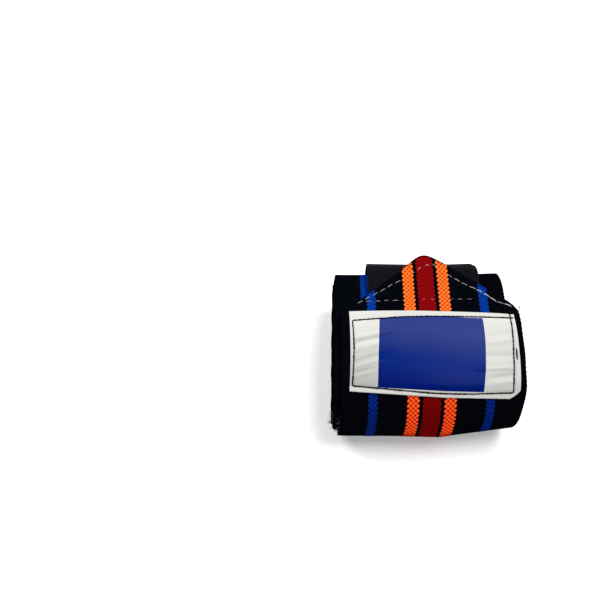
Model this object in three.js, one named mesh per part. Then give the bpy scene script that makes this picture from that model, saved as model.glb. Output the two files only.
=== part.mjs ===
// An elastic wrist wrap, rolled up loosely and lying on its side, with its pointed end on top.
// Millimetres, +Z up. The roll's axis runs along X and its front faces -Y.
// "Travel" is the distance from the strip's tip along its outermost turn: forward over the top,
// down the front, back along the underside and up the back, then round again one layer further in.

import * as THREE from "three";
import { LoftGeometry } from "three/addons/geometries/LoftGeometry.js";

// The roll, measured over its outermost turn
const ROLL_DEPTH = 83.8;
const ROLL_HEIGHT = 44;
const ROLL_END_RADIUS = 20.7;
const TURNS = 3.64;
const TURN_GAP = 0.4;

// The elastic strip and its pointed end
const STRIP_WIDTH = 76;
const STRIP_THICKNESS = 2;
const SELVEDGE_ROUND = 0.6;
const POINT_LEFT_LENGTH = 31; // the point's left side starts lower than its right side
const POINT_RIGHT_LENGTH = 27.5;
const POINT_RADIUS = 6.5;
const POINT_ASIDE = 0.8; // from the strip's middle to the point's
const BULGE = 2; // how far the right selvedge stands out beside the label, and between which travels
const BULGE_STARTS = 5;
const BULGE_FULL = 50;
const BULGE_FADES = 58;
const BULGE_ENDS = 88;
const TIP_BEHIND_TOP = 34.8; // from the roll's top centre back to the tip
const TIP_LIFT = 5.8; // the stiff point stands off the roll's curved back
const LIFT_LENGTH = 30;
const STEP_STARTS = 36; // travel where the strip comes down behind the tape's sewn end
const STEP_ENDS = 52;

// The label sewn across the strip, below the point
const LABEL_LEFT = -34.35;
const LABEL_RIGHT = 36.4;
const LABEL_LEFT_BOW = 0.5; // how far its left edge bows in, and its right and upper edges out
const LABEL_RIGHT_BOW = 0.9;
const LABEL_TOP_BOW = 1.3;
const LABEL_LEFT_TOP = 31.2; // travel of its upper edge at each side
const LABEL_RIGHT_TOP = 32.3;
const LABEL_LEFT_HEIGHT = 35.6;
const LABEL_RIGHT_HEIGHT = 38.1;
const LABEL_CORNER_CUT = 4.2;
const LABEL_THICKNESS = 0.5;

// The hook tape sewn under the point, which runs on over the roll's back
const TAPE_WIDTH = 50;
const TAPE_ASIDE = -0.5;
const TAPE_THICKNESS = 1.4;
const TAPE_START = 32; // travel of the end that is sewn under the strip
const TAPE_LEAVES_STRIP = 10;
const TAPE_PAST_TIP = 28;
const TAPE_SAG = 0.4; // how far the tape sags towards the roll behind the tip

const SEWN_GAP = 0.35; // between pieces that are sewn or pressed together

// How far each turn of the roll has slid sideways, smoothed between the rows
const TURN_SLIDES = [
  { turn: 0, slide: 0.1 },
  { turn: 0.35, slide: 0 },
  { turn: 0.55, slide: -1.2 },
  { turn: 1, slide: -2.2 },
  { turn: 2, slide: -3.8 },
  { turn: 3, slide: -3.2 },
  { turn: 4, slide: -2 },
];

// The right end is drawn in at the lower front and let out at the upper back: direction from the roll's
// core, and share of the distance to it
const END_PULLS = [
  { back: -0.94, up: -0.34, share: 0.12 },
  { back: 0.75, up: 0.66, share: -0.05 },
];
const PULL_STARTS = 5;

// Fineness of the solids
const SECTION_STEP = 3.5;
const POINT_STEPS = [0.15, 0.8, 2.3];
const COLUMNS = 6;

const turnPitch = STRIP_THICKNESS + TURN_GAP;
const tapeRoom = TAPE_THICKNESS + 2 * SEWN_GAP - TURN_GAP;
const rollCore = { y: 0, z: ROLL_HEIGHT / 2 };

// The outermost turn's middle line: a flat underside, two round ends and a slightly domed top
const endRadius = ROLL_END_RADIUS - STRIP_THICKNESS / 2;
const flatHalf = ROLL_DEPTH / 2 - ROLL_END_RADIUS;
const domeAngle = 2 * Math.atan((ROLL_HEIGHT - 2 * ROLL_END_RADIUS) / flatHalf);
const domeRadius = endRadius + flatHalf / Math.sin(domeAngle);
const domeCentre = ROLL_HEIGHT - STRIP_THICKNESS / 2 - domeRadius;
const domeLength = domeRadius * domeAngle;
const endLength = endRadius * (Math.PI - domeAngle);

// Each stretch of it in order from the top centre: arcs by centre, radius and angle from straight up
const OUTLINE = [
  { y: 0, z: domeCentre, radius: domeRadius, from: 0, length: domeLength },
  { y: -flatHalf, z: ROLL_END_RADIUS, radius: endRadius, from: domeAngle, length: endLength },
  { y: -flatHalf, z: STRIP_THICKNESS / 2, length: 2 * flatHalf },
  { y: flatHalf, z: ROLL_END_RADIUS, radius: endRadius, from: Math.PI, length: endLength },
  { y: 0, z: domeCentre, radius: domeRadius, from: 2 * Math.PI - domeAngle, length: domeLength },
];
const turnLength = OUTLINE.reduce((sum, stretch) => sum + stretch.length, 0);

// Travels between which the outermost turn rests flat
const FLAT_STARTS = TIP_BEHIND_TOP + domeLength + endLength;
const FLAT_ENDS = FLAT_STARTS + 2 * flatHalf;

// Turns wound by a distance from the top centre; a turn comes no further in along its flat underside
function turnsAt(distance) {
  const along = THREE.MathUtils.euclideanModulo(distance, turnLength);
  const onFlat = THREE.MathUtils.clamp(along - domeLength - endLength, 0, 2 * flatHalf);
  return (distance - along) / turnLength + (along - onFlat) / (turnLength - 2 * flatHalf);
}

// The place in the roll's section at a travel, a height above the strip's middle
function onRoll(travel, height) {
  const turns = turnsAt(travel - TIP_BEHIND_TOP) - turnsAt(-TIP_BEHIND_TOP);
  const rise = height - turnPitch * turns;
  let along = THREE.MathUtils.euclideanModulo(travel - TIP_BEHIND_TOP, turnLength);
  const stretch = OUTLINE.find((row) => {
    if (along <= row.length) return true;
    along -= row.length;
    return false;
  });
  if (!stretch.radius) return { y: stretch.y + along, z: stretch.z - rise };
  const angle = stretch.from + along / stretch.radius;
  return {
    y: stretch.y - (stretch.radius + rise) * Math.sin(angle),
    z: stretch.z + (stretch.radius + rise) * Math.cos(angle),
  };
}

function slideAt(travel) {
  const turn = Math.max(0, travel / turnLength);
  const next = TURN_SLIDES.findIndex((row) => row.turn > turn);
  const [a, b] = [TURN_SLIDES[next - 1], TURN_SLIDES[next]];
  return THREE.MathUtils.lerp(a.slide, b.slide, THREE.MathUtils.smoothstep(turn, a.turn, b.turn));
}

// Draws the roll in or lets it out, more and more up to its right end
function pullEnd(point) {
  const outY = point.y - rollCore.y;
  const outZ = point.z - rollCore.z;
  const along = Math.max(0, (point.x - PULL_STARTS) / (STRIP_WIDTH / 2 - PULL_STARTS));
  let share = 0;
  for (const pull of END_PULLS) {
    const facing = (outY * pull.back + outZ * pull.up) / Math.hypot(outY, outZ);
    share += pull.share * along * Math.max(0, facing) ** 2;
  }
  point.y -= share * outY;
  point.z -= share * outZ;
  return point;
}

// A point of the strip or of what is sewn to it: across the strip, along it, and above its middle
function wound(across, travel, height) {
  const { y, z } = onRoll(travel, height);
  return pullEnd(new THREE.Vector3(across + slideAt(travel), y, z));
}

// The strip's end lifts over the tape that is sewn under it, and its point stands off further
function stripLift(travel) {
  const overTape = tapeRoom * (1 - THREE.MathUtils.smoothstep(travel, STEP_STARTS, STEP_ENDS));
  return overTape + TIP_LIFT * Math.max(0, 1 - travel / LIFT_LENGTH) ** 2;
}

// A closed ring around a flat section: the lower face from left to right, then the upper face back
function ring(left, right, low, high, place) {
  const round = Math.min(SELVEDGE_ROUND, (right - left) / 4, (high - low) / 2);
  const middle = (low + high) / 2;
  const across = Array.from({ length: COLUMNS + 1 }, (_, i) =>
    THREE.MathUtils.lerp(left + round, right - round, i / COLUMNS),
  );
  return [
    ...across.map((x) => place(x, low)),
    place(right, middle),
    ...across.toReversed().map((x) => place(x, high)),
    place(left, middle),
  ];
}

// A ring closed up onto its own middle line, which seals the end of a solid
function closedUp(points) {
  return points.map((point, i) =>
    point
      .clone()
      .add(points.at(2 * COLUMNS + 2 - i))
      .multiplyScalar(0.5),
  );
}

function solidThrough(rings) {
  return new LoftGeometry([closedUp(rings[0]), ...rings, closedUp(rings.at(-1))]);
}

function evenSteps(from, to, step) {
  const count = Math.ceil(Math.abs(to - from) / step);
  return Array.from({ length: count + 1 }, (_, i) => THREE.MathUtils.lerp(from, to, i / count));
}

// How far a side of the strip lies from the point's middle: a straight side that meets the round tip
function sideReach(travel, reach, length) {
  if (travel >= length) return reach;
  const toCentre = length - POINT_RADIUS;
  const lean = Math.atan2(reach, toCentre) - Math.asin(POINT_RADIUS / Math.hypot(toCentre, reach));
  if (travel > POINT_RADIUS * (1 - Math.sin(lean))) return reach - (length - travel) * Math.tan(lean);
  return Math.sqrt(travel * (2 * POINT_RADIUS - travel));
}

function leftEdge(travel) {
  return POINT_ASIDE - sideReach(travel, STRIP_WIDTH / 2 + POINT_ASIDE, POINT_LEFT_LENGTH);
}

function rightEdge(travel) {
  const below = Math.max(travel, POINT_RIGHT_LENGTH);
  const swell = THREE.MathUtils.smoothstep(below, BULGE_STARTS, BULGE_FULL);
  const fade = THREE.MathUtils.smoothstep(below, BULGE_FADES, BULGE_ENDS);
  const reach = STRIP_WIDTH / 2 + BULGE * (swell - fade) - POINT_ASIDE;
  return POINT_ASIDE + sideReach(travel, reach, POINT_RIGHT_LENGTH);
}

function elasticStrip() {
  const pointTravels = evenSteps(POINT_STEPS.at(-1), POINT_RIGHT_LENGTH, SECTION_STEP);
  const frontTravels = evenSteps(POINT_LEFT_LENGTH, FLAT_STARTS, SECTION_STEP);
  const flatTravels = evenSteps(FLAT_STARTS, FLAT_ENDS, SECTION_STEP).slice(1, -1);
  const innerTravels = evenSteps(FLAT_ENDS, TURNS * turnLength, SECTION_STEP);
  const bodyTravels = [...frontTravels, ...flatTravels, ...innerTravels];
  const travels = [...POINT_STEPS.slice(0, -1), ...pointTravels, ...bodyTravels];
  return solidThrough(
    travels.map((travel) => {
      const lift = stripLift(travel);
      const half = STRIP_THICKNESS / 2;
      return ring(leftEdge(travel), rightEdge(travel), -half, half, (x, height) =>
        wound(x, travel, lift + height),
      );
    }),
  );
}

// The label's upper and lower edges slope, three edges bow a little and its lower right corner is cut off
function label() {
  const cutShare = 1 - LABEL_CORNER_CUT / LABEL_RIGHT_HEIGHT;
  const shares = [...evenSteps(0, cutShare, SECTION_STEP / LABEL_RIGHT_HEIGHT), 1];
  const low = STRIP_THICKNESS / 2 + SEWN_GAP;
  return solidThrough(
    shares.map((share) => {
      const sideBow = Math.sin(Math.PI * share);
      const left = LABEL_LEFT + LABEL_LEFT_BOW * sideBow;
      const bowed = LABEL_RIGHT + LABEL_RIGHT_BOW * sideBow;
      const right = share > cutShare ? LABEL_RIGHT - LABEL_CORNER_CUT : bowed;
      return ring(left, right, low, low + LABEL_THICKNESS, (x, rise) => {
        const sideways = (x - LABEL_LEFT) / (LABEL_RIGHT - LABEL_LEFT);
        const height = THREE.MathUtils.lerp(LABEL_LEFT_HEIGHT, LABEL_RIGHT_HEIGHT, sideways);
        const bow = LABEL_TOP_BOW * (1 - share) * 4 * sideways * (1 - sideways);
        const top = THREE.MathUtils.lerp(LABEL_LEFT_TOP, LABEL_RIGHT_TOP, sideways);
        const travel = top - bow + share * height;
        return wound(x, travel, stripLift(travel) + rise);
      });
    }),
  );
}

// The tape's middle line follows the strip's underside, leaves it behind the tip, and ends
// pressed against the turn of the strip that comes up the roll's back
function tapeRise(travel) {
  const underStrip = (t) => stripLift(t) - STRIP_THICKNESS / 2 - SEWN_GAP - TAPE_THICKNESS / 2;
  if (travel >= TAPE_LEAVES_STRIP) return underStrip(travel);
  const pressed = STRIP_THICKNESS / 2 - turnPitch + SEWN_GAP + TAPE_THICKNESS / 2;
  const span = TAPE_LEAVES_STRIP + TAPE_PAST_TIP;
  const share = (TAPE_LEAVES_STRIP - travel) / span;
  const slope = ((2 * TIP_LIFT) / LIFT_LENGTH) * (1 - TAPE_LEAVES_STRIP / LIFT_LENGTH);
  const leaving = 2 * share ** 3 - 3 * share ** 2 + 1;
  const rising = share ** 3 - 2 * share ** 2 + share;
  const sag = 16 * TAPE_SAG * (share * (1 - share)) ** 2;
  return underStrip(TAPE_LEAVES_STRIP) * leaving + slope * span * rising + pressed * (1 - leaving) - sag;
}

function hookTape() {
  const left = TAPE_ASIDE - TAPE_WIDTH / 2;
  const half = TAPE_THICKNESS / 2;
  return solidThrough(
    evenSteps(-TAPE_PAST_TIP, TAPE_START, SECTION_STEP).map((travel) =>
      ring(left, left + TAPE_WIDTH, -half, half, (x, height) => wound(x, travel, tapeRise(travel) + height)),
    ),
  );
}

const PIECES = [
  { name: "elastic_strip", geometry: elasticStrip(), color: 0x17181b, roughness: 0.85 },
  { name: "hook_tape", geometry: hookTape(), color: 0x1f2023, roughness: 0.6 },
  { name: "label", geometry: label(), color: 0xecece8, roughness: 0.4 },
];

const wrap = new THREE.Group();
for (const { name, geometry, color, roughness } of PIECES) {
  const mesh = new THREE.Mesh(geometry, new THREE.MeshStandardMaterial({ color, roughness, metalness: 0 }));
  mesh.name = name;
  wrap.add(mesh);
}

// The origin is the middle of the wrap's underside
const box = new THREE.Box3().setFromObject(wrap);
const middle = box.getCenter(new THREE.Vector3());
wrap.position.set(-middle.x, -middle.y, -box.min.z);

export default wrap;
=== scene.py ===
"""Looks of an elastic wrist wrap, rolled up loosely and lying on its side with its pointed end on top.

Sizes are in millimetres, as cut and sewn: "across" the strip from its middle, "travel" along it from its
tip on the roll's outermost turn, and "height" above the strip's middle. Colours are linear.
"""

import math
from collections import namedtuple

import bpy
import numpy as np
from mathutils import Matrix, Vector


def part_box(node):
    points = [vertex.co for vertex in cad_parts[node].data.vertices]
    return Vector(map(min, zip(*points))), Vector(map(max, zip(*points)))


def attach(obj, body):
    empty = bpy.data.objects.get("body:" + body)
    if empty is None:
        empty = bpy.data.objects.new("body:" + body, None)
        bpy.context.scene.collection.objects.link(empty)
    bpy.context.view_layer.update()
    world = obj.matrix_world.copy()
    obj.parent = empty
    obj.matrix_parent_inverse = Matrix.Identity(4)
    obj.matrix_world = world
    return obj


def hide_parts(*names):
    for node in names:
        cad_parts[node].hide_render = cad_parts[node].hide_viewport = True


MM = 0.001
SEED = 7

# The roll, measured over its outermost turn
ROLL_DEPTH = 83.8
ROLL_HEIGHT = 44.0
ROLL_END_RADIUS = 20.7
TURNS = 3.64
TURN_GAP = 0.4

# The elastic strip and its pointed end
STRIP_WIDTH = 76.0
STRIP_THICKNESS = 2.0
SELVEDGE_ROUND = 0.6
SELVEDGE_WAVE = 0.12  # a slow wave along the selvedges, out of step at left and right
SELVEDGE_WAVE_RATE = 0.37
SELVEDGE_WAVE_PHASE = 2
SELVEDGE_WAVE_STARTS = 2
SELVEDGE_PICKS = 0.07  # finer unevenness there, once in each period of the weave
SELVEDGE_POWER = 9  # how fast both die away towards the strip's middle
POINT_LEFT_LENGTH = 31.0
POINT_RIGHT_LENGTH = 27.5
POINT_RADIUS = 6.5
POINT_ASIDE = 0.8
CORNER_ROUND = 1.2  # off the strip's right corner
CORNER_REACH = 3.5
BULGE = 2.0
BULGE_STARTS = 5.0
BULGE_FULL = 50.0
BULGE_FADES = 58.0
BULGE_ENDS = 88.0
TIP_BEHIND_TOP = 34.8
TIP_LIFT = 5.8
LIFT_LENGTH = 30.0
STEP_STARTS = 36.0
STEP_ENDS = 52.0

# The label, and the hook tape sewn under the point
LABEL_LEFT = -34.35
LABEL_RIGHT = 36.4
LABEL_LEFT_BOW = 0.5
LABEL_RIGHT_BOW = 0.9
LABEL_TOP_BOW = 1.3
LABEL_LEFT_TOP = 31.2
LABEL_RIGHT_TOP = 32.3
LABEL_LEFT_HEIGHT = 35.6
LABEL_RIGHT_HEIGHT = 38.1
LABEL_CORNER_CUT = 4.2
LABEL_CORNER_ROUND = 1.6
LABEL_EDGE_ROUND = 0.15
LABEL_THICKNESS = 0.4
LABEL_FULLNESS = 0.28  # rise of the vinyl at some distance from its stitches
FULLNESS_REACH = 3.5
SEAM_PULL = 0.12  # depth and half width of the groove that its stitches pull
SEAM_PULL_WIDTH = 0.6
TAPE_WIDTH = 50.0
TAPE_ASIDE = -0.5
TAPE_THICKNESS = 1.4
TAPE_START = 32.0
TAPE_LEAVES_STRIP = 10.0
TAPE_PAST_TIP = 28.0
TAPE_SAG = 0.4
TAPE_DROOP = 1.3  # of its right selvedge behind the tip
DROOP_REACH = 2.0
TAPE_LEAN = 0.55  # how much higher its left selvedge stands there
TAPE_BACKING = 0.7
TAPE_EDGE_ROUND = 0.25
SEWN_GAP = 0.35

# How far each turn of the roll has slid sideways: turn, slide
TURN_SLIDES = (
    (0, 0.1),
    (0.35, 0),
    (0.55, -1.2),
    (1, -2.2),
    (1.45, -3.0),
    (1.95, -2.6),
    (2.25, -3.8),
    (3, -3.2),
    (4, -2),
)

# Soft unevenness of the cloth, as waves: height, rate along the strip and across it, phase
RIPPLES = ((0.07, 0.13, 0.09, 0.0), (0.05, 0.21, -0.16, 1.3))

# Pulls on the roll's right end: direction from its core (back and up), and share of the distance to it
END_PULLS = ((-0.94, -0.34, 0.12), (0.75, 0.66, -0.05))
PULL_STARTS = 5.0

TURN_PITCH = STRIP_THICKNESS + TURN_GAP
TAPE_ROOM = TAPE_THICKNESS + 2 * SEWN_GAP - TURN_GAP
END_RADIUS = ROLL_END_RADIUS - STRIP_THICKNESS / 2
FLAT_HALF = ROLL_DEPTH / 2 - ROLL_END_RADIUS
DOME_ANGLE = 2 * math.atan((ROLL_HEIGHT - 2 * ROLL_END_RADIUS) / FLAT_HALF)
DOME_RADIUS = END_RADIUS + FLAT_HALF / math.sin(DOME_ANGLE)
DOME_CENTRE = ROLL_HEIGHT - STRIP_THICKNESS / 2 - DOME_RADIUS
DOME_LENGTH = DOME_RADIUS * DOME_ANGLE
END_LENGTH = END_RADIUS * (math.pi - DOME_ANGLE)
HALF_TURN = DOME_LENGTH + END_LENGTH + FLAT_HALF
TURN_LENGTH = 2 * HALF_TURN

# The outline's arcs from the top centre: centre (back and up), radius, first angle from straight up, first
# distance and length
ARCS = (
    (0, DOME_CENTRE, DOME_RADIUS, 0, 0, DOME_LENGTH),
    (-FLAT_HALF, ROLL_END_RADIUS, END_RADIUS, DOME_ANGLE, DOME_LENGTH, END_LENGTH),
    (FLAT_HALF, ROLL_END_RADIUS, END_RADIUS, math.pi, HALF_TURN + FLAT_HALF, END_LENGTH),
    (0, DOME_CENTRE, DOME_RADIUS, 2 * math.pi - DOME_ANGLE, TURN_LENGTH - DOME_LENGTH, DOME_LENGTH),
)

# The weave: warp yarns that rise and dip in turn
YARN_PITCH = 1.03  # of the black yarns
YARN_PERIOD = 2.2
YARN_HALF_HEIGHT = 0.14
YARN_SWELL = 0.2  # of a yarn on its crest
YARN_SINK = 0.06
YARN_SWAY = 0.16
YARN_INSET = 0.12  # from the strip's cut edge to a yarn's end, which dips into the cloth
YARN_END_LENGTH = 0.5
YARN_END_DIP = 0.6
TIP_RIM = 0.9  # width of the ground's dark rim round the tip
RIM_STARTS = 0.3  # how far from a cut edge its dark rim starts to fade
YARNS_END = 245.0  # the travel up to which the yarns can be seen
PINCH_REACH = 0.5  # share of a crest up to which a yarn is pinched
GROUND_INSET = 0.4  # of the ground under a stripe
FACE_DEPTH = 0.2  # of the colour in the strip's two faces

# Fineness of the meshes: columns and rows of a ribbon, sides of a tube and points along it, steps of travel
STRIP_COLUMNS = 61
TIP_ROWS = (0.02, 0.1, 0.3, 0.6, 1.0, 1.5)
FRONT_FROM = 2.0
FRONT_STEP = 0.6
BACK_FROM = 120.0
BACK_STEP = 1.0
INNER_STEP = 2.5
LABEL_COLUMNS = 170
LABEL_ROWS = 96
LABEL_EDGE_STEPS = 2
TAPE_COLUMNS = 81
TAPE_ROWS = 140
TUBE_SIDES = 6
YARN_STEPS = 8  # in a period
STITCH_POINTS = 9
HOOK_POINTS = 6
FLUFF_POINTS = 7
THREAD_END_POINTS = 20
EDGE_STEP = 0.02  # in the search for a yarn's end
FIT_STEP = 0.5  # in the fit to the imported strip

# Woven stripes: their middle's distance from the strip's, their yarns, the yarns' pitch, rise and pinch in a
# dip, how deep a stitch sinks in, how far the dark rim at a cut edge reaches, colours on a crest and in a dip
# (the dip darker, partly as painted shade in the weave's hollows) on the roll's lit top and at its front,
# where they are darker and redder as painted shade, and their painted glow, an emission that adds light to
# the yarns
Stripe = namedtuple(
    "Stripe",
    "name middle yarns pitch rise pinch stitch_sink rim top_crest top_dip front_crest front_dip glow",
)
STRIPES = (
    Stripe("red", 0, 8, 0.95, 0.04, 0.3, 0.19, 1.5,
           (0.20, 0.0022, 0.0026), (0.13, 0.0010, 0.002),
           (0.158, 0.0014, 0.002), (0.135, 0.0005, 0.001), 0.0),
    Stripe("orange", 7.72, 5, 0.98, 0.06, 0.4, 0.38, 0.4,
           (0.76, 0.132, 0.016), (0.34, 0.028, 0.004),
           (0.95, 0.078, 0.012), (0.21, 0.003, 0.0008), 0.28),
    Stripe("blue", 24.5, 4, 0.96, 0.05, 0.4, 0.0, 0.7,
           (0.0016, 0.033, 0.25), (0.0008, 0.018, 0.16),
           (0.0028, 0.016, 0.167), (0.0012, 0.010, 0.10), 0.0),
)
TOP_ENDS = 45.0  # travels between which the stripes' lit top colours give way to their front ones, darker and redder as painted shade
FRONT_STARTS = 80.0
FRONT_ENDS = 160.0  # and those between which they come back, on the next turn
TOP_STARTS = 185.0
GLOW_FADES = 86.0  # travels between which the painted glow fades, where the stripes turn under
GLOW_ENDS = 95.0
UNDER_FADES = 135.0  # travels up to which the stripes are painted in their darker dip colour where they lie underneath, as painted shade
UNDER_ENDS = 150.0
TOP_DIP_REACH = 0.6  # how far up a yarn's crest the dip's colour reaches, on the top and at the front
FRONT_DIP_REACH = 0.75
# The black weave's colours on a crest and in a dip; the dip darker, partly as painted shade in the weave's
# hollows
BLACK_CREST = (0.0032, 0.0046, 0.0080)
BLACK_DIP = (0.0006, 0.0007, 0.0013)

# Finish of each surface: roughness, shine, scale of its mottle or lint and what that adds, and depth of bumps
NOISE_DETAIL = 3.0
WEBBING_ROUGHNESS = 0.9
LINT_SCALE = 900
LINT_BUMP = 0.3
WEBBING_BUMP = 0.18
YARN_ROUGHNESS = 0.8
FIBRE_SCALE = 2600
FIBRE_SHADE = 0.5
YARN_BUMP = 0.06
RIM_SHADE = 0.95
VINYL_ROUGHNESS = 0.25
VINYL_SHINE = 0.015
VINYL_MOTTLE_SCALE = 60
VINYL_GRAIN_SCALE = 1500
VINYL_BUMP = 0.02
TAPE_ROUGHNESS = 0.6
TAPE_SHINE = 0.01
TAPE_BUMP = 0.08
PICK_BUMP = 0.5
THREAD_ROUGHNESS = 0.65
THREAD_SHINE = 0.1
THREAD_BUMP = 0.06
TWIST_SHADE = 0.35  # share of a thread's shade that its twist adds to the rest, its grooves painted darker as shade
UNTWISTED_SHADE = 0.65
# The tape's ribs and the grooves between them, the grooves painted darker as shade
TAPE_DIP = (0.0026, 0.0028, 0.0038)
TAPE_CREST = (0.0062, 0.0064, 0.0090)
SELVEDGE_STEP = 0.3  # width of the step from the tape's ribs to its plain selvedge
SELVEDGE_SHADE = 1.5

# The label's colours, the two shades of a mottle in pairs; the white is darker downwards as painted shade,
# differently at its left and right, and the blue is pale at its top as a painted sheen and deepens in two
# steps as painted shade, by shares of the panel's height
WHITES = ((0.51, 0.515, 0.485), (0.56, 0.565, 0.535))
SHADED_WHITES = ((0.37, 0.37, 0.352), (0.475, 0.475, 0.455))
WHITE_SHADE_STEPS = (0.2, 0.95)
LOWEST_WHITE = (0.53, 0.52, 0.50)
SHEEN_BLUES = ((0.018, 0.031, 0.165), (0.026, 0.039, 0.185))
MIDDLE_BLUE = (0.0005, 0.013, 0.145)
SHADED_BLUE = (0.0002, 0.007, 0.115)
BLUE_SHADE_STEPS = (0.2, 0.7, 1.0)
BLUE_SLANT = -0.14  # of the steps from left to right, and their shift
BLUE_SHIFT = 0.1

# Threads: the pale and the dull colour between which their stitches vary
WHITE_THREAD = ((0.66, 0.65, 0.62), (0.10, 0.10, 0.10))
BLACK_THREAD = ((0.006, 0.006, 0.007), (0.002, 0.002, 0.003))
HOOK_NYLON = ((0.008, 0.008, 0.010), (0.003, 0.003, 0.004))
LOOSE_FIBRE = ((0.25, 0.25, 0.26), (0.01, 0.01, 0.012))

# Stitch lines, as points across and along the strip
POINT_SEAM_LEFT = (
    (-30.6, 26.2), (-29.8, 25.6), (-20.8, 19.8), (-11.7, 13.9),
    (-3.8, 8.5), (-1.9, 7.1), (1.0, 5.4), (3.8, 5.2),
)
POINT_SEAM_RIGHT = (
    (3.8, 5.2), (7.0, 8.1), (11.2, 11.6), (19.1, 17.2),
)
POINT_SEAM_LOWER = (
    (19.1, 17.2), (22.6, 19.2), (26.0, 21.6), (30.0, 25.1), (33.6, 26.8), (36.4, 28.0),
)
TAPE_SEAM = (
    (-27.0, 25.0), (-20.1, 24.7), (-12.2, 24.3), (-1.2, 23.4), (7.6, 23.4), (21.4, 23.7),
)
LABEL_TOP_LEFT = (-33.0, 35.7)
LABEL_LOW_RIGHT = (33.7, 67.5)
LABEL_LOW_LEFT = (-33.1, 64.5)
LABEL_LINES = (
    (LABEL_TOP_LEFT, (-11.4, 33.4), (3.0, 33.0), (17.4, 33.2), (36.1, 34.0)),
    ((34.6, 31.6), (34.9, 38.0), (35.0, 43.9), (34.6, 55.0), LABEL_LOW_RIGHT),
    (LABEL_LOW_RIGHT, (15.6, 67.6), (-0.6, 67.0), (-17.6, 65.7), LABEL_LOW_LEFT),
    (LABEL_LOW_LEFT, (-32.6, 56.0), (-32.3, 49.0), (-32.5, 42.0), LABEL_TOP_LEFT),
)
LABEL_TACK = ((36.1, 47.4), (36.0, 52.8))

# Seams: their line, the stitches' length, gap and thickness, how deep they dip in and how far they stray
Seam = namedtuple("Seam", "line length gap thick dip stray")
WHITE_SEAMS = (
    Seam(POINT_SEAM_LEFT, 3.0, 1.2, 0.27, 0.25, 0.15),
    Seam(POINT_SEAM_RIGHT, 2.8, 0.9, 0.2, 0.2, 0.12),
    Seam(POINT_SEAM_LOWER, 3.0, 0.4, 0.44, 0.12, 0.2),
    Seam(TAPE_SEAM, 2.6, 1.6, 0.18, 0.25, 0.2),
)
BLACK_SEAMS = (
    *(Seam(line, 2.4, -0.5, 0.62, 0.03, 0.05) for line in LABEL_LINES),
    Seam(LABEL_TACK, 5.4, 0.0, 0.7, 0.03, 0.0),
)
STITCH_DRIFT = 0.15  # of a stitch's ends along its seam
STITCH_SIZES = (0.75, 1.15)  # shares of the thread's thickness
STITCH_END_SIZE = 0.55  # at a stitch's ends, and what its middle adds
STITCH_SWELL = 0.45
STITCH_RISE = 0.35  # of its middle, as a share of the thread's thickness
STITCH_SHADES = (0.35, 1)
STITCH_HEIGHT = 0.12  # of the white stitches over the strip's face
THREAD_TWIST = 0.6

# The label's blue panel
PANEL_LEFT = (-21.3, -22.6)  # across, at the panel's top and bottom
PANEL_RIGHT = (22.9, 21.4)
PANEL_RIGHT_BOW = 0.9
PANEL_TOP = (33.95, 34.0)  # travel, at the panel's left and right
PANEL_TOP_BOW = 0.8
PANEL_BOTTOM = (65.1, 67.0)

# The hook tape's ribs, plain selvedges and hooks
TAPE_RIB = 0.55
TAPE_PICK = 0.8
TAPE_SELVEDGE = 3.0
HOOK_ROW = 1.3
HOOK_PITCH = 1.5
HOOK_LEAN = 0.45
HOOK_HEIGHT = 0.62
HOOK_THICKNESS = 0.16
HOOK_DRIFT = 0.1  # of a row
HOOK_LEAN_TURN = 0.8 * math.pi  # how far round a hook goes in leaning, and in standing out
HOOK_RISE_TURN = 0.62 * math.pi
HOOK_CREEP = 0.001  # along and across, so that a hook's path never stands still
HOOK_SIDE_CREEP = 0.02
HOOK_SHADE = 0.5

# Loose fibres at the left selvedge of the roll's front, on each turn that shows there, and a thread end that
# stands up beside the label (across, travel, height)
FLUFF_TRAVELS = (78.0, 112.0)
FLUFF_TURNS = 3
FLUFF_COUNT = 110
FLUFF_LENGTHS = (0.8, 2.6)
FLUFF_THICKNESS = 0.07
FLUFF_SLANT = 1.2  # a fibre's direction and curl, to either side
FLUFF_CURL = 1.5
FLUFF_INSET = 0.3
FLUFF_SPREAD = 0.8  # over the selvedge's thickness
FLUFF_RISES = (-0.6, 1.0)
THREAD_END_THICKNESS = 0.32
THREAD_END = ((38.0, 32.2, 0.4), (38.4, 31.2, 1.3), (38.9, 30.0, 2.4), (39.3, 29.0, 3.6))

# Wrinkles that run in from the label's sides: from, to (across and travel), width, height
WRINKLES = (
    (-33.0, 44.2, -8.0, 38.6, 0.9, 0.29),
    (-33.0, 46.2, -6.0, 39.8, 0.9, -0.48),
    (-33.0, 49.0, -6.0, 43.0, 1.3, 0.35),
    (-33.0, 55.0, -14.0, 48.6, 1.4, -0.64),
    (-33.0, 57.2, -16.0, 51.5, 0.8, 0.35),
    (-33.0, 59.4, -22.0, 56.6, 0.7, -0.32),
    (-33.0, 61.4, -22.0, 57.8, 0.8, 0.29),
    (35.0, 41.0, 22.0, 42.4, 1.0, -0.22),
    (35.0, 44.0, 18.0, 46.5, 1.0, 0.22),
    (35.0, 51.0, 18.0, 51.2, 1.4, -0.40),
    (35.0, 56.4, 13.0, 57.6, 0.8, 0.46),
    (35.0, 59.6, 20.0, 62.0, 1.3, -0.54),
    (35.0, 62.4, 22.0, 63.6, 1.0, 0.22),
)
WRINKLE_GROWS = (-0.05, 0.12)  # shares of a wrinkle's length between which it rises and dies away
WRINKLE_DIES = (0.45, 1.0)

# The photo's camera: focal length and picture size in pixels, turns in degrees, and the pixel that its aim
# falls on
FOCAL = 806.22
PICTURE = 600
TILT = 53.01
YAW = -2.48
CAMERA_ROLL = -1.45
AIM_PIXEL = (430.72, 343.19)
AIM = (0.0, -11.6, 45.0)  # in the roll's own frame
AIM_DISTANCE = 340.72
SENSOR = 36.0
NEAREST_SEEN = 0.01

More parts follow.
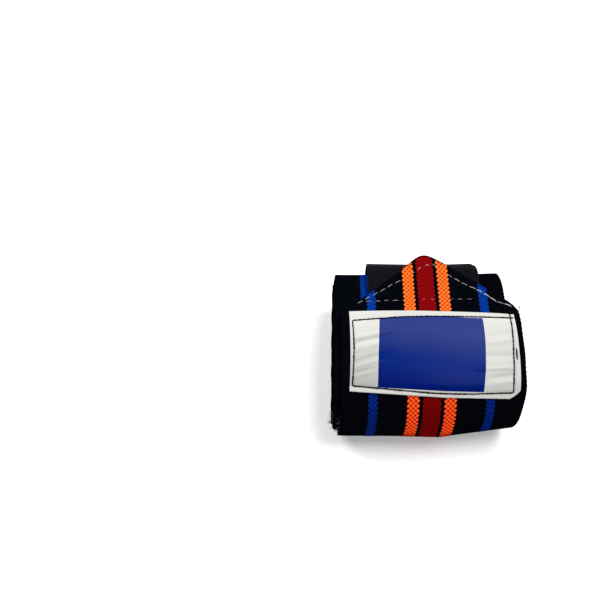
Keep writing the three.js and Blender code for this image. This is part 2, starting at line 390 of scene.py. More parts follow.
# The floor and the lights, in metres and watts: a light's place, aim, size and power
FLOOR_SIZE = 8.0
FLOOR_COLOUR = (0.9, 0.9, 0.9)
FLOOR_DARKER = 0.7  # share of it in its mottle
FLOOR_MOTTLE_SCALE = 700
FLOOR_ROUGHNESS = 0.9
FLOOR_GLOW = 0.35
SOFTBOX = ((0.45, 0.03, 1.2), (0, 0, 0), (0.65, 0.9), 19.5)
LEFT_FILL = ((-0.45, 0.25, 0.4), (-0.05, 0, 0), (0.3, 0.3), 2.8)
ROOM_LIGHT = 0.15

rng = np.random.default_rng(SEED)
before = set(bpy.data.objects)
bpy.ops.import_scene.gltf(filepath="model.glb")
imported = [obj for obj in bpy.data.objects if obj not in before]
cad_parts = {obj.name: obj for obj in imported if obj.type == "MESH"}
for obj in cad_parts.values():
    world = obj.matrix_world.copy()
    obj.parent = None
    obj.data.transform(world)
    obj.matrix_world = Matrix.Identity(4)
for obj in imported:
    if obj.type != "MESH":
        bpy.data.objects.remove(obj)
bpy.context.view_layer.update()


def smooth_step(value, low, high):
    share = np.clip((value - low) / (high - low), 0, 1)
    return share * share * (3 - 2 * share)


def turns_at(distance):
    """Turns wound by a distance from the top centre, where a turn comes no further in on its underside."""
    along = np.mod(distance, TURN_LENGTH)
    on_flat = np.clip(along - DOME_LENGTH - END_LENGTH, 0, 2 * FLAT_HALF)
    return (distance - along) / TURN_LENGTH + (along - on_flat) / (TURN_LENGTH - 2 * FLAT_HALF)


def on_roll(travel, height):
    """The place in the roll's section, as y and z."""
    rise = height - TURN_PITCH * (turns_at(travel - TIP_BEHIND_TOP) - turns_at(-TIP_BEHIND_TOP))
    along = np.mod(travel - TIP_BEHIND_TOP, TURN_LENGTH)
    y = along - HALF_TURN
    z = STRIP_THICKNESS / 2 - rise
    for centre_y, centre_z, radius, first_angle, start, length in ARCS:
        here = (along >= start) & (along <= start + length)
        angle = first_angle + (along - start) / radius
        y = np.where(here, centre_y - (radius + rise) * np.sin(angle), y)
        z = np.where(here, centre_z + (radius + rise) * np.cos(angle), z)
    return y, z


def slide_at(travel):
    turn = np.maximum(0, travel / TURN_LENGTH)
    turns, slides = np.array(TURN_SLIDES, float).T
    after = np.clip(np.searchsorted(turns, turn, side="right"), 1, len(turns) - 1)
    share = smooth_step(turn, turns[after - 1], turns[after])
    return slides[after - 1] + (slides[after] - slides[after - 1]) * share


def wound(across, travel, height):
    """Points of the roll in its own frame, with the pulls on its right end."""
    y, z = on_roll(travel, height)
    x = across + slide_at(travel)
    out_z = z - ROLL_HEIGHT / 2
    along = np.maximum(0, (x - PULL_STARTS) / (STRIP_WIDTH / 2 - PULL_STARTS))
    share = 0
    for back, up, pull in END_PULLS:
        facing = (y * back + out_z * up) / np.hypot(y, out_z)
        share = share + pull * along * np.maximum(0, facing) ** 2
    return np.stack([x, y - share * y, z - share * out_z], axis=-1)


def strip_lift(travel):
    """The strip's end lifts over the tape that is sewn under it, and its point stands off further."""
    over_tape = TAPE_ROOM * (1 - smooth_step(travel, STEP_STARTS, STEP_ENDS))
    return over_tape + TIP_LIFT * np.maximum(0, 1 - travel / LIFT_LENGTH) ** 2


def ripple(across, travel):
    """Soft unevenness of the cloth."""
    rise = 0
    for size, along, aside, phase in RIPPLES:
        rise = rise + size * np.sin(along * travel + aside * across + phase)
    return rise


def on_strip(across, travel, height):
    return wound(across, travel, strip_lift(travel) + ripple(across, travel) + height)


def hump(share):
    """0 at both ends and 1 in the middle."""
    return 16 * (share * (1 - share)) ** 2


def tape_rise(travel):
    """The tape's middle follows the strip's underside, leaves it and ends pressed to the roll's back."""

    def under_strip(t):
        return strip_lift(t) - STRIP_THICKNESS / 2 - SEWN_GAP - TAPE_THICKNESS / 2

    pressed = STRIP_THICKNESS / 2 - TURN_PITCH + SEWN_GAP + TAPE_THICKNESS / 2
    span = TAPE_LEAVES_STRIP + TAPE_PAST_TIP
    share = (TAPE_LEAVES_STRIP - travel) / span
    slope = 2 * TIP_LIFT / LIFT_LENGTH * (1 - TAPE_LEAVES_STRIP / LIFT_LENGTH)
    leaving = 2 * share**3 - 3 * share**2 + 1
    rising = share**3 - 2 * share**2 + share
    free = under_strip(TAPE_LEAVES_STRIP) * leaving + slope * span * rising + pressed * (1 - leaving)
    free = free - TAPE_SAG * hump(share)
    return np.where(travel >= TAPE_LEAVES_STRIP, under_strip(travel), free)


def on_tape(across, travel, height):
    right_side = TAPE_ASIDE + TAPE_WIDTH / 2
    share = np.clip((TAPE_LEAVES_STRIP - travel) / (TAPE_LEAVES_STRIP + TAPE_PAST_TIP), 0, 1)
    droop = TAPE_DROOP * smooth_step(across, right_side - DROOP_REACH, right_side)
    lean = TAPE_LEAN * (right_side - across) / TAPE_WIDTH
    rise = tape_rise(travel) + (lean - droop) * hump(share)
    return wound(across, travel, rise + height)


def side_reach(travel, reach, length):
    """How far a side lies from the point's middle: a straight side that meets the round tip."""
    to_centre = length - POINT_RADIUS
    lean = np.arctan2(reach, to_centre) - np.arcsin(POINT_RADIUS / np.hypot(to_centre, reach))
    straight = reach - (length - travel) * np.tan(lean)
    round_tip = np.sqrt(np.maximum(0, travel * (2 * POINT_RADIUS - travel)))
    pointed = np.where(travel > POINT_RADIUS * (1 - np.sin(lean)), straight, round_tip)
    return np.where(travel >= length, reach, pointed)


def left_edge(travel):
    return POINT_ASIDE - side_reach(travel, STRIP_WIDTH / 2 + POINT_ASIDE, POINT_LEFT_LENGTH)


def right_edge(travel):
    below = np.maximum(travel, POINT_RIGHT_LENGTH)
    swell = smooth_step(below, BULGE_STARTS, BULGE_FULL) - smooth_step(below, BULGE_FADES, BULGE_ENDS)
    reach = side_reach(travel, STRIP_WIDTH / 2 + BULGE * swell - POINT_ASIDE, POINT_RIGHT_LENGTH)
    near_corner = np.maximum(0, 1 - np.abs(travel - POINT_RIGHT_LENGTH) / CORNER_REACH)
    return POINT_ASIDE + reach - CORNER_ROUND * near_corner**2


def ring_pattern(columns, edge_steps=3):
    """Round a flat section, upper face from left to right and lower face back: share of the flat part's
    half width, share of the edge's rounding, and share of half the thickness."""
    turn = np.linspace(math.pi / 2, 0, edge_steps, endpoint=False)
    flat = np.linspace(-1, 1, columns)
    side = np.ones(edge_steps)
    share = np.concatenate([-side, flat, side])
    edge = np.concatenate([-np.sin(turn), np.zeros(columns), np.sin(turn[::-1])])
    thick = np.concatenate([np.cos(turn), np.ones(columns), np.cos(turn[::-1])])
    back = slice(-2, 0, -1)
    return (
        np.concatenate([share, share[back]]),
        np.concatenate([edge, edge[back]]),
        np.concatenate([thick, -thick[back]]),
    )


def ring_faces(rows, ring, upper_first):
    """Quads between rings in order, and the two end faces."""
    here = np.arange(rows * ring).reshape(rows, ring)
    beside = np.roll(here, -1, axis=1)
    corners = [here[:-1], beside[:-1], beside[1:], here[1:]]
    ends = [here[0][::-1], here[-1]]
    if upper_first:
        corners = corners[::-1]
        ends = [here[0], here[-1][::-1]]
    return np.stack(corners, axis=-1).reshape(-1, 4).tolist() + [end.tolist() for end in ends]


def tube(across, travel, height, half_wide, half_high, sides):
    """Rings round a path over the cloth, as across, travel and height."""
    run = np.stack([np.gradient(across), np.gradient(travel)], axis=-1)
    run /= np.linalg.norm(run, axis=-1, keepdims=True)
    angle = np.arange(sides) * 2 * math.pi / sides
    wide = (half_wide * np.ones_like(across))[:, None] * np.cos(angle)
    high = (half_high * np.ones_like(across))[:, None] * np.sin(angle)
    return (
        across[:, None] + wide * run[:, 1:2],
        travel[:, None] - wide * run[:, 0:1],
        height[:, None] + high,
    )


class Paint:
    """One material and the nodes that feed its shader."""

    def __init__(self, name, **values):
        self.material = bpy.data.materials.new(name)
        self.material.use_nodes = True
        self.tree = self.material.node_tree
        self.shader = self.tree.nodes["Principled BSDF"]
        for key, value in values.items():
            self.feed(self.shader.inputs[key.replace("_", " ")], value)

    def feed(self, socket, value):
        if isinstance(value, bpy.types.NodeSocket):
            self.tree.links.new(value, socket)
        elif isinstance(value, tuple) and socket.type == "RGBA":
            socket.default_value = (*value, 1)
        else:
            socket.default_value = value

    def set(self, name, value):
        self.feed(self.shader.inputs[name], value)

    def maths(self, operation, *values):
        node = self.tree.nodes.new("ShaderNodeMath")
        node.operation = operation
        for socket, value in zip(node.inputs, values):
            self.feed(socket, value)
        return node.outputs[0]

    def between(self, share, low, high):
        return self.maths("MULTIPLY_ADD", share, high - low, low)

    def step(self, value, low, high):
        node = self.tree.nodes.new("ShaderNodeMapRange")
        node.interpolation_type = "SMOOTHSTEP"
        for socket, part in zip(node.inputs, (value, low, high, 0.0, 1.0)):
            self.feed(socket, part)
        return node.outputs[0]

    def mix(self, share, first, second):
        node = self.tree.nodes.new("ShaderNodeMix")
        node.data_type = "RGBA"
        for index, value in ((0, share), (6, first), (7, second)):
            self.feed(node.inputs[index], value)
        return node.outputs[2]

    def reading(self, name):
        attribute = self.tree.nodes.new("ShaderNodeAttribute")
        attribute.attribute_name = name
        parts = self.tree.nodes.new("ShaderNodeSeparateXYZ")
        self.tree.links.new(attribute.outputs["Vector"], parts.inputs[0])
        return parts.outputs

    def noise(self, scale):
        node = self.tree.nodes.new("ShaderNodeTexNoise")
        node.inputs["Scale"].default_value = scale
        node.inputs["Detail"].default_value = NOISE_DETAIL
        place = self.tree.nodes.new("ShaderNodeTexCoord")
        self.tree.links.new(place.outputs["Object"], node.inputs["Vector"])
        return node.outputs[0]

    def wave(self, value, period):
        """Between 0 and 1, once in each period."""
        angle = self.maths("MULTIPLY", value, 2 * math.pi / period)
        return self.maths("MULTIPLY_ADD", self.maths("COSINE", angle), 0.5, 0.5)

    def bump(self, height, distance):
        node = self.tree.nodes.new("ShaderNodeBump")
        node.inputs["Distance"].default_value = distance * MM
        self.tree.links.new(height, node.inputs["Height"])
        self.set("Normal", node.outputs[0])


def webbing_paint():
    paint = Paint("elastic_webbing", Roughness=WEBBING_ROUGHNESS, Specular_IOR_Level=0.0)
    across, travel, height = paint.reading("cloth")
    column = paint.maths("COSINE", paint.maths("MULTIPLY_ADD", across, math.pi / YARN_PITCH, -math.pi / 2))
    pick = paint.maths("COSINE", paint.maths("MULTIPLY", travel, 2 * math.pi / YARN_PERIOD))
    # Crests lighter and dips darker, partly as painted shade in the weave's hollows
    crest = paint.maths("MULTIPLY_ADD", paint.maths("MULTIPLY", column, pick), 0.5, 0.5)
    lint = paint.noise(LINT_SCALE)
    colour = paint.mix(paint.maths("MULTIPLY", crest, lint), BLACK_DIP, BLACK_CREST)
    off_middle = paint.maths("ABSOLUTE", across)
    on_face = paint.maths("GREATER_THAN", paint.maths("ABSOLUTE", height), STRIP_THICKNESS / 2 - FACE_DEPTH)
    bare = paint.maths("MULTIPLY", crest, paint.maths("GREATER_THAN", travel, YARNS_END))
    for stripe in STRIPES:
        aside = paint.maths("ABSOLUTE", paint.maths("SUBTRACT", off_middle, stripe.middle))
        inside = paint.maths("LESS_THAN", aside, stripe.yarns * stripe.pitch / 2 - GROUND_INSET)
        inside = paint.maths("MULTIPLY", inside, on_face)
        # The ground under a stripe in its dip colours, lit on the top and darker at the front as painted
        # shade
        ground = paint.mix(paint.step(travel, TOP_ENDS, FRONT_STARTS), stripe.top_dip, stripe.front_dip)
        colour = paint.mix(inside, colour, paint.mix(bare, ground, stripe.front_crest))
    aside = paint.maths("SUBTRACT", across, POINT_ASIDE)
    behind = paint.maths("SUBTRACT", POINT_RADIUS, travel)
    from_centre = paint.maths("SQRT", paint.maths(
        "ADD", paint.maths("MULTIPLY", aside, aside), paint.maths("MULTIPLY", behind, behind)
    ))
    rim = paint.maths("GREATER_THAN", from_centre, POINT_RADIUS - TIP_RIM)
    rim = paint.maths("MULTIPLY", rim, paint.maths("GREATER_THAN", behind, 0.0))
    colour = paint.mix(rim, colour, BLACK_DIP)
    paint.set("Base Color", colour)
    paint.bump(paint.maths("MULTIPLY_ADD", lint, LINT_BUMP, crest), WEBBING_BUMP)
    return paint.material


def yarn_paint(stripe):
    paint = Paint(stripe.name + "_yarn", Roughness=YARN_ROUGHNESS, Specular_IOR_Level=0.0)
    crest, rim, travel = paint.reading("yarn")
    fibre = paint.noise(FIBRE_SCALE)
    shade = paint.maths("MULTIPLY_ADD", paint.maths("SUBTRACT", fibre, 0.5), FIBRE_SHADE, crest)
    # Painted shade: the stripes take their darker front colours from the roll's top down its front, and back
    # on the next turn
    front = paint.maths(
        "SUBTRACT", paint.step(travel, TOP_ENDS, FRONT_STARTS), paint.step(travel, FRONT_ENDS, TOP_STARTS)
    )
    on_crest = paint.mix(front, stripe.top_crest, stripe.front_crest)
    in_dip = paint.mix(front, stripe.top_dip, stripe.front_dip)
    dip_reach = paint.between(front, TOP_DIP_REACH, FRONT_DIP_REACH)
    # Dips darker than crests, partly as painted shade in the weave's hollows
    colour = paint.mix(paint.step(shade, 0.0, dip_reach), in_dip, on_crest)
    # Painted light: the yarn's colour glows as emission, fading where the stripes turn under
    glowing = colour
    fade = paint.step(travel, GLOW_FADES, GLOW_ENDS)
    # Painted shade under the roll: the stripes take their darker dip colour where they turn under and rest on
    # the floor
    under = paint.maths("SUBTRACT", fade, paint.step(travel, UNDER_FADES, UNDER_ENDS))
    colour = paint.mix(under, colour, stripe.front_dip)
    paint.set("Base Color", paint.mix(paint.maths("MULTIPLY", rim, RIM_SHADE), colour, BLACK_DIP))
    paint.set("Emission Color", paint.mix(fade, glowing, (0.0, 0.0, 0.0)))
    paint.set("Emission Strength", stripe.glow)
    paint.bump(fibre, YARN_BUMP)
    return paint.material


def vinyl_paint():
    paint = Paint("label_vinyl", Roughness=VINYL_ROUGHNESS, Specular_IOR_Level=VINYL_SHINE)
    across, travel, _ = paint.reading("cloth")
    sideways = paint.maths("SUBTRACT", across, PANEL_LEFT[0])
    sideways = paint.maths("DIVIDE", sideways, PANEL_RIGHT[0] - PANEL_LEFT[0])
    arch = paint.maths("SINE", paint.maths("MULTIPLY", sideways, math.pi))
    top = paint.maths("MULTIPLY_ADD", arch, -PANEL_TOP_BOW, paint.between(sideways, *PANEL_TOP))
    down = paint.maths("SUBTRACT", travel, top)
    down = paint.maths("DIVIDE", down, paint.maths("SUBTRACT", paint.between(sideways, *PANEL_BOTTOM), top))
    left = paint.between(down, *PANEL_LEFT)
    bow = paint.maths("SINE", paint.maths("MULTIPLY", down, math.pi))
    right = paint.maths("MULTIPLY_ADD", bow, PANEL_RIGHT_BOW, paint.between(down, *PANEL_RIGHT))
    inside = paint.maths("GREATER_THAN", across, left)
    for test in (
        paint.maths("LESS_THAN", across, right),
        paint.maths("GREATER_THAN", down, 0.0),
        paint.maths("LESS_THAN", down, 1.0),
    ):
        inside = paint.maths("MULTIPLY", inside, test)
    mottle = paint.noise(VINYL_MOTTLE_SCALE)
    white = paint.mix(mottle, *WHITES)
    # Painted shade: the white darker downwards, more at its left than at its right
    white = paint.mix(paint.step(down, *WHITE_SHADE_STEPS), white, paint.mix(sideways, *SHADED_WHITES))
    white = paint.mix(paint.maths("GREATER_THAN", down, 1.0), white, LOWEST_WHITE)
    # Painted sheen and shade: the blue pale at the top, deepening downwards in two slanted steps
    shade_depth = paint.maths("ADD", down, paint.maths("MULTIPLY_ADD", sideways, BLUE_SLANT, BLUE_SHIFT))
    blue = paint.mix(paint.step(shade_depth, *BLUE_SHADE_STEPS[:2]), paint.mix(mottle, *SHEEN_BLUES), MIDDLE_BLUE)
    blue = paint.mix(paint.step(shade_depth, *BLUE_SHADE_STEPS[1:]), blue, SHADED_BLUE)
    paint.set("Base Color", paint.mix(inside, white, blue))
    paint.bump(paint.noise(VINYL_GRAIN_SCALE), VINYL_BUMP)
    return paint.material


def tape_paint():
    paint = Paint("hook_tape", Roughness=TAPE_ROUGHNESS, Specular_IOR_Level=TAPE_SHINE)
    across, travel, _ = paint.reading("cloth")
    rib = paint.wave(across, TAPE_RIB)
    pick = paint.wave(travel, TAPE_PICK)
    off_middle = paint.maths("ABSOLUTE", paint.maths("SUBTRACT", across, TAPE_ASIDE))
    ribs_end = TAPE_WIDTH / 2 - TAPE_SELVEDGE
    selvedge = paint.step(off_middle, ribs_end, ribs_end + SELVEDGE_STEP)
    rib = paint.maths("MULTIPLY", rib, paint.maths("MULTIPLY_ADD", selvedge, SELVEDGE_SHADE, 1.0))
    # Grooves between the ribs painted darker as shade
    paint.set("Base Color", paint.mix(rib, TAPE_DIP, TAPE_CREST))
    paint.bump(paint.maths("MULTIPLY_ADD", pick, PICK_BUMP, rib), TAPE_BUMP)
    return paint.material


def thread_paint(name, pale, dull):
    """Twisted thread, each stitch with its own shade."""
    paint = Paint(name, Roughness=THREAD_ROUGHNESS, Specular_IOR_Level=THREAD_SHINE)
    shade, along, turn = paint.reading("thread")
    twist = paint.wave(paint.maths("MULTIPLY_ADD", turn, THREAD_TWIST, along), THREAD_TWIST)
    twisted = paint.maths("MULTIPLY_ADD", twist, TWIST_SHADE, UNTWISTED_SHADE)
    paint.set("Base Color", paint.mix(paint.maths("MULTIPLY", shade, twisted), dull, pale))
    paint.bump(twist, THREAD_BUMP)
    return paint.material


def floor_paint():
    paint = Paint("floor", Roughness=FLOOR_ROUGHNESS, Emission_Color=(1, 1, 1), Emission_Strength=FLOOR_GLOW)
    darker = tuple(FLOOR_DARKER * part for part in FLOOR_COLOUR)
    paint.set("Base Color", paint.mix(paint.noise(FLOOR_MOTTLE_SCALE), darker, FLOOR_COLOUR))
    return paint.material


def add_piece(name, points, faces, material, slot, facts=None):
    """A mesh in the part's frame from points in the roll's own frame, pressed flat where it rests."""
    placed = (points.reshape(-1, 3) + ROLL_SHIFT) * MM
    placed[:, 2] = np.maximum(placed[:, 2], 0)
    mesh = bpy.data.meshes.new(name)
    mesh.from_pydata(placed.tolist(), [], faces)
    for key, values in (facts or {}).items():
        attribute = mesh.attributes.new(key, "FLOAT_VECTOR", "POINT")
        attribute.data.foreach_set("vector", np.asarray(values, np.float32).ravel())
    mesh.polygons.foreach_set("use_smooth", np.ones(len(mesh.polygons), bool))
    mesh.materials.append(material)
    piece = bpy.data.objects.new(name, mesh)
    bpy.context.scene.collection.objects.link(piece)
    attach(piece, "root")
    return piece


def add_ribbon(name, across, travel, height, place, material, slot):
    across, travel, height = np.broadcast_arrays(across, travel, height)
    points = place(across, travel, height)
    facts = {"cloth": np.stack([across, travel, height], axis=-1)}
    return add_piece(name, points, ring_faces(*across.shape, upper_first=True), material, slot, facts)


def add_tubes(name, tubes, place, material, slot, fact):
    """Several tubes as one piece, each as its rings and what the material reads on them."""
    points, faces, values, start = [], [], [], 0
    for (across, travel, height), reading in tubes:
        points.append(place(across, travel, height).reshape(-1, 3))
        values.append(reading.reshape(-1, 3))
        for face in ring_faces(*across.shape, upper_first=False):
            faces.append([start + corner for corner in face])
        start += across.size
    return add_piece(name, np.concatenate(points), faces, material, slot, {fact: np.concatenate(values)})


def strip_rows():
    front = np.arange(FRONT_FROM, BACK_FROM, FRONT_STEP)
    back = np.arange(BACK_FROM, YARNS_END, BACK_STEP)
    inner = np.arange(YARNS_END, TURNS * TURN_LENGTH, INNER_STEP)
    return np.concatenate([TIP_ROWS, front, back, inner, [TURNS * TURN_LENGTH]])


def strip_section():
    share, edge, thick = ring_pattern(STRIP_COLUMNS)
    travel = strip_rows()[:, None]
    left, right = left_edge(travel), right_edge(travel)
    half = (right - left) / 2
    rounding = np.minimum(SELVEDGE_ROUND, half / 2)
    uneven = SELVEDGE_WAVE * np.sin(SELVEDGE_WAVE_RATE * travel + SELVEDGE_WAVE_PHASE * np.sign(share))
    uneven = uneven + SELVEDGE_PICKS * np.sin(2 * math.pi * travel / YARN_PERIOD)
    growing = smooth_step(travel, SELVEDGE_WAVE_STARTS, POINT_LEFT_LENGTH)
    along_edge = share**SELVEDGE_POWER * uneven * growing
    across = (left + right) / 2 + share * (half - rounding) + edge * rounding + along_edge
    return across, travel, thick * STRIP_THICKNESS / 2


def yarn_tube(across, column, stripe):
    """A yarn that rises and dips in turn, from the strip's pointed end on."""
    travels = np.arange(0, POINT_LEFT_LENGTH, EDGE_STEP)
    half = stripe.pitch / 2
    start = YARN_INSET + max(
        np.interp(across + half, right_edge(travels), travels),
        np.interp(half - across, -left_edge(travels), travels),
    )
    travel = np.arange(start, YARNS_END, YARN_PERIOD / YARN_STEPS)
    angle = 2 * math.pi * travel / YARN_PERIOD + math.pi * column
    crest = 0.5 + 0.5 * np.cos(angle)
    over_edge = 1 - smooth_step(travel - start, 0, YARN_END_LENGTH)
    height = STRIP_THICKNESS / 2 - YARN_SINK + stripe.rise * np.cos(angle) - YARN_END_DIP * over_edge
    sway = YARN_SWAY * np.sin(angle) * (1 if column % 2 else -1)
    wide = half * (1 + YARN_SWELL * crest - stripe.pinch * (1 - smooth_step(crest, 0, PINCH_REACH)))
    rings = tube(across + sway, travel, height, wide, YARN_HALF_HEIGHT, TUBE_SIDES)
    rim = 1 - smooth_step(travel - start, RIM_STARTS, stripe.rim)
    reading = np.stack([crest, rim, travel], axis=-1)
    return rings, np.repeat(reading[:, None, :], TUBE_SIDES, axis=1)


def stripe_tubes(stripe):
    """A stripe's yarns, on both sides of the strip's middle unless the stripe lies there itself."""
    tubes = []
    for side in (1, -1) if stripe.middle else (1,):
        for column in range(stripe.yarns):
            across = side * stripe.middle + stripe.pitch * (column - (stripe.yarns - 1) / 2)
            tubes.append(yarn_tube(across, column, stripe))
    return tubes


def along_line(line, length, gap):
    """Stitches along a line, each as its two ends."""
    corners = np.array(line, float)
    reach = np.concatenate([[0], np.cumsum(np.linalg.norm(np.diff(corners, axis=0), axis=1))])
    count = max(1, round(reach[-1] / (length + gap)))
    pitch = reach[-1] / count
    for index in range(count):
        ends = np.array([index * pitch, (index + 1) * pitch - gap])
        ends = ends + rng.uniform(-STITCH_DRIFT, STITCH_DRIFT, 2)
        yield [np.array([np.interp(end, reach, corners[:, axis]) for axis in (0, 1)]) for end in ends]


def thread_tube(across, travel, height, thick, shade):
    """A thread along a path, with its shade, distance along and turn round it."""
    rings = tube(across, travel, height, thick / 2, thick / 2, TUBE_SIDES)
    steps = np.hypot(np.diff(across), np.diff(travel))
    along = np.concatenate([[0], np.cumsum(steps)])
    turn = np.arange(TUBE_SIDES) / TUBE_SIDES
    return rings, np.stack(np.broadcast_arrays(shade, along[:, None], turn), axis=-1)


def stitch_sink(across):
    """How deep a stitch sinks into the stripe that it crosses."""
    sink = np.zeros_like(across)
    for stripe in STRIPES:
        aside = np.abs(np.abs(across) - stripe.middle)
        sink = np.where(aside < stripe.yarns * stripe.pitch / 2, stripe.stitch_sink, sink)
    return sink


def stitch_tubes(seams, surface):
    """Stitches that dip into the cloth at both ends; surface gives its height at a place."""
    tubes = []
    share = np.linspace(0, 1, STITCH_POINTS)
    arch = 1 - np.abs(2 * share - 1) ** 3
    for seam in seams:
        for first, last in along_line(seam.line, seam.length, seam.gap):
            aside = rng.uniform(-seam.stray, seam.stray, (2, 2))
            path = (first + aside[0])[None] + share[:, None] * (last + aside[1] - first - aside[0])[None]
            size = seam.thick * rng.uniform(*STITCH_SIZES) * (STITCH_END_SIZE + STITCH_SWELL * arch)
            rise = seam.dip + STITCH_RISE * seam.thick
            height = surface(path[:, 0], path[:, 1]) - seam.dip + rise * arch
            shade = rng.uniform(*STITCH_SHADES)
            tubes.append(thread_tube(path[:, 0], path[:, 1], height, size, shade))
    return tubes


def webbing_surface(across, travel):
    return STRIP_THICKNESS / 2 + STITCH_HEIGHT - stitch_sink(across)


def label_surface(across, travel):
    return STRIP_THICKNESS / 2 + SEWN_GAP + LABEL_THICKNESS + label_relief(across, travel)


def hook_tubes():
    """Hooks on the tape's underside, leaning along it in turn."""
    tubes = []
    bend = np.linspace(0, 1, HOOK_POINTS)
    reach = TAPE_WIDTH / 2 - TAPE_SELVEDGE
    height = -HOOK_HEIGHT * np.sin(HOOK_RISE_TURN * bend)
    for row, travel in enumerate(np.arange(HOOK_ROW - TAPE_PAST_TIP, TAPE_START - HOOK_ROW, HOOK_ROW)):
        lean = 1 if row % 2 else -1
        along = travel + lean * HOOK_LEAN * np.sin(HOOK_LEAN_TURN * bend) + HOOK_CREEP * bend
        drift = rng.uniform(-HOOK_DRIFT, HOOK_DRIFT)
        for middle in TAPE_ASIDE + np.arange(-reach, reach, HOOK_PITCH) + drift:
            across = middle + HOOK_SIDE_CREEP * bend
            tubes.append(thread_tube(across, along, height, HOOK_THICKNESS, HOOK_SHADE))
    return tubes


def fibre_tubes():
    """Fluff along the left selvedge of the roll's lower front, and a thread end beside the label."""
    tubes = []
    share = np.linspace(0, 1, FLUFF_POINTS)
    for travel in rng.uniform(*FLUFF_TRAVELS, FLUFF_COUNT):
        travel += TURN_LENGTH * rng.integers(FLUFF_TURNS)
        length = rng.uniform(*FLUFF_LENGTHS)
        turn = rng.uniform(-FLUFF_SLANT, FLUFF_SLANT)
        angle = turn + rng.uniform(-FLUFF_CURL, FLUFF_CURL) * share
        across = left_edge(travel) + FLUFF_INSET - length * np.cumsum(np.cos(angle)) / len(share)
        along = travel + length * np.cumsum(np.sin(angle)) / len(share)
        height = rng.uniform(-FLUFF_SPREAD, FLUFF_SPREAD) + rng.uniform(*FLUFF_RISES) * share
        tubes.append(thread_tube(across, along, height, FLUFF_THICKNESS, rng.uniform(0, 1)))
    across, travel, height = (np.array(column) for column in zip(*THREAD_END))
    steps = np.linspace(0, len(across) - 1, THREAD_END_POINTS)
    places = np.arange(len(across))
    path = [np.interp(steps, places, column) for column in (across, travel, height)]
    tubes.append(thread_tube(*path, THREAD_END_THICKNESS, shade=0.0))
    return tubes


def label_relief(across, travel):
    """The vinyl's wrinkles, its pull-down along the stitches and its fullness between them."""
    relief = np.zeros(np.broadcast(across, travel).shape)
    for across_from, travel_from, across_to, travel_to, width, height in WRINKLES:
        run = np.array([across_to - across_from, travel_to - travel_from])
        length = np.linalg.norm(run)
        along = ((across - across_from) * run[0] + (travel - travel_from) * run[1]) / length**2
        aside = ((across - across_from) * run[1] - (travel - travel_from) * run[0]) / length
        fade = smooth_step(along, *WRINKLE_GROWS) * (1 - smooth_step(along, *WRINKLE_DIES))
        relief += height * fade * np.exp(-((aside / width) ** 2))
    nearest = np.full(relief.shape, np.inf)
    for line in LABEL_LINES:
        for start, end in zip(line[:-1], line[1:]):
            run = np.array(end) - np.array(start)
            share = ((across - start[0]) * run[0] + (travel - start[1]) * run[1]) / (run @ run)
            share = np.clip(share, 0, 1)
            miss = np.hypot(across - start[0] - share * run[0], travel - start[1] - share * run[1])
            nearest = np.minimum(nearest, miss)
    relief = relief + LABEL_FULLNESS * smooth_step(nearest, 0, FULLNESS_REACH)
    return relief - SEAM_PULL * np.exp(-((nearest / SEAM_PULL_WIDTH) ** 2))


def label_section():
    share, edge, thick = ring_pattern(LABEL_COLUMNS, LABEL_EDGE_STEPS)
    down = np.linspace(0, 1, LABEL_ROWS)[:, None]
    cut = 1 - LABEL_CORNER_CUT / LABEL_RIGHT_HEIGHT
    left = LABEL_LEFT + LABEL_LEFT_BOW * np.sin(math.pi * down)
    right = LABEL_RIGHT + LABEL_RIGHT_BOW * np.sin(math.pi * down)
    right = right - LABEL_CORNER_CUT * np.maximum(0, (down - cut) / (1 - cut)) ** LABEL_CORNER_ROUND
    half = (right - left) / 2
    across = (left + right) / 2 + share * (half - LABEL_EDGE_ROUND) + edge * LABEL_EDGE_ROUND
    sideways = (across - LABEL_LEFT) / (LABEL_RIGHT - LABEL_LEFT)
    top = LABEL_LEFT_TOP + (LABEL_RIGHT_TOP - LABEL_LEFT_TOP) * sideways
    top = top - LABEL_TOP_BOW * (1 - down) * 4 * sideways * (1 - sideways)
    travel = top + down * (LABEL_LEFT_HEIGHT + (LABEL_RIGHT_HEIGHT - LABEL_LEFT_HEIGHT) * sideways)
    low = STRIP_THICKNESS / 2 + SEWN_GAP
    full = label_relief(across, travel) * (thick > 0)
    return across, travel, low + LABEL_THICKNESS * (0.5 + 0.5 * thick) + full


def tape_section():
    share, edge, thick = ring_pattern(TAPE_COLUMNS)
    travel = np.linspace(-TAPE_PAST_TIP, TAPE_START, TAPE_ROWS)[:, None]
    across = TAPE_ASIDE + share * (TAPE_WIDTH / 2 - TAPE_EDGE_ROUND) + edge * TAPE_EDGE_ROUND
    return across, travel, TAPE_BACKING / 2 + thick * TAPE_BACKING / 2


def add_light(name, place, aim, size, power):
    """A soft rectangle of light that faces its aim."""
    lamp = bpy.data.lights.new(name, "AREA")
    lamp.shape = "RECTANGLE"
    lamp.size, lamp.size_y = size
    lamp.energy = power
    light = bpy.data.objects.new(name, lamp)
    bpy.context.scene.collection.objects.link(light)
    light.location = place
    back = np.array(place) - np.array(aim)
    back = back / np.linalg.norm(back)
    side = np.cross((0, 1, 0), back)
    side /= np.linalg.norm(side)
    axes = np.stack([side, np.cross(back, side), back], axis=-1)
    light.rotation_euler = Matrix(axes.tolist()).to_euler()


# The roll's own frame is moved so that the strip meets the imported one
travel = np.arange(0, TURNS * TURN_LENGTH, FIT_STEP)
edge_line = wound(left_edge(travel), travel, strip_lift(travel))
outer_line = wound(np.zeros_like(travel), travel, strip_lift(travel) + STRIP_THICKNESS / 2)
strip_low = np.array(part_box("elastic_strip")[0]) / MM
ROLL_SHIFT = strip_low - np.minimum(edge_line.min(axis=0), outer_line.min(axis=0))

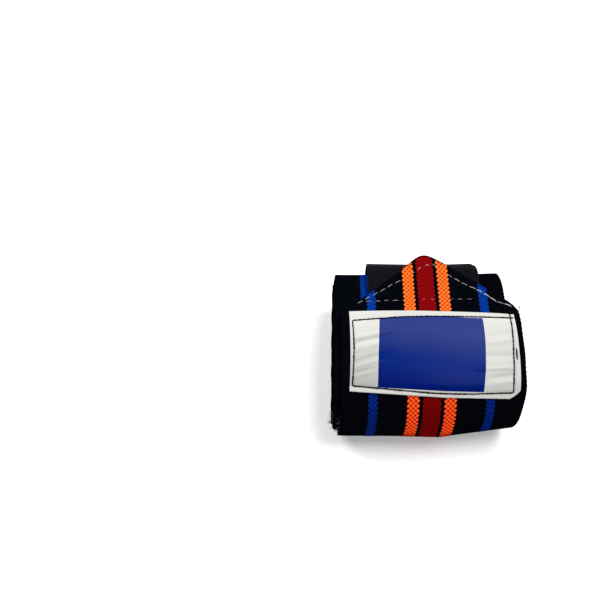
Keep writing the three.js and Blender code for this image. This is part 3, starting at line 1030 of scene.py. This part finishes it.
strip = add_ribbon("elastic_strip_cloth", *strip_section(), on_strip, webbing_paint(), "elastic_webbing")
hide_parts("elastic_strip")

for stripe in STRIPES:
    material = yarn_paint(stripe)
    name = stripe.name + "_yarns"
    add_tubes(name, stripe_tubes(stripe), on_strip, material, "elastic_webbing", "yarn")

label = add_ribbon("label_vinyl", *label_section(), on_strip, vinyl_paint(), "label_vinyl")
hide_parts("label")
tape = add_ribbon("hook_tape_backing", *tape_section(), on_tape, tape_paint(), "hook_tape")
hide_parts("hook_tape")

white_thread = thread_paint("white_thread", *WHITE_THREAD)
seams = stitch_tubes(WHITE_SEAMS, webbing_surface)
white_stitches = add_tubes("white_stitches", seams, on_strip, white_thread, "elastic_webbing", "thread")
black_thread = thread_paint("black_thread", *BLACK_THREAD)
label_seams = stitch_tubes(BLACK_SEAMS, label_surface)
black_stitches = add_tubes("black_stitches", label_seams, on_strip, black_thread, "label_vinyl", "thread")
nylon = thread_paint("hook_nylon", *HOOK_NYLON)
hooks = add_tubes("tape_hooks", hook_tubes(), on_tape, nylon, "hook_tape", "thread")
fluff = thread_paint("loose_fibre", *LOOSE_FIBRE)
fibres = add_tubes("loose_fibres", fibre_tubes(), on_strip, fluff, "elastic_webbing", "thread")

# Floor and light
floor_mesh = bpy.data.meshes.new("floor")
reach = FLOOR_SIZE / 2
corners = [(-reach, -reach, 0), (reach, -reach, 0), (reach, reach, 0), (-reach, reach, 0)]
floor_mesh.from_pydata(corners, [], [(0, 1, 2, 3)])
floor_mesh.materials.append(floor_paint())
floor = bpy.data.objects.new("floor", floor_mesh)
bpy.context.scene.collection.objects.link(floor)

add_light("softbox", *SOFTBOX)
add_light("left_fill", *LEFT_FILL)
world = bpy.data.worlds.new("studio")
world.use_nodes = True
background = world.node_tree.nodes["Background"]
background.inputs["Color"].default_value = (1, 1, 1, 1)
background.inputs["Strength"].default_value = ROOM_LIGHT
bpy.context.scene.world = world
bpy.context.scene.view_settings.view_transform = "Standard"

# The camera
tilt, yaw, roll = (math.radians(angle) for angle in (TILT, YAW, CAMERA_ROLL))
forward = np.array([math.sin(yaw) * math.cos(tilt), math.cos(yaw) * math.cos(tilt), -math.sin(tilt)])
level = np.array([math.cos(yaw), -math.sin(yaw), 0])
steep = np.cross(level, forward)
right = math.cos(roll) * level + math.sin(roll) * steep
up = -math.sin(roll) * level + math.cos(roll) * steep
to_aim = forward + (right * (AIM_PIXEL[0] - PICTURE / 2) - up * (AIM_PIXEL[1] - PICTURE / 2)) / FOCAL
eye = (np.array(AIM) + ROLL_SHIFT - AIM_DISTANCE * to_aim) * MM
lens = bpy.data.cameras.new("camera")
lens.sensor_width = SENSOR
lens.lens = FOCAL * SENSOR / PICTURE
lens.clip_start = NEAREST_SEEN
camera = bpy.data.objects.new("camera", lens)
bpy.context.scene.collection.objects.link(camera)
axes = np.eye(4)
axes[:3, 0], axes[:3, 1], axes[:3, 2], axes[:3, 3] = right, up, -forward, eye
camera.matrix_world = Matrix(axes.tolist())
bpy.context.scene.camera = camera
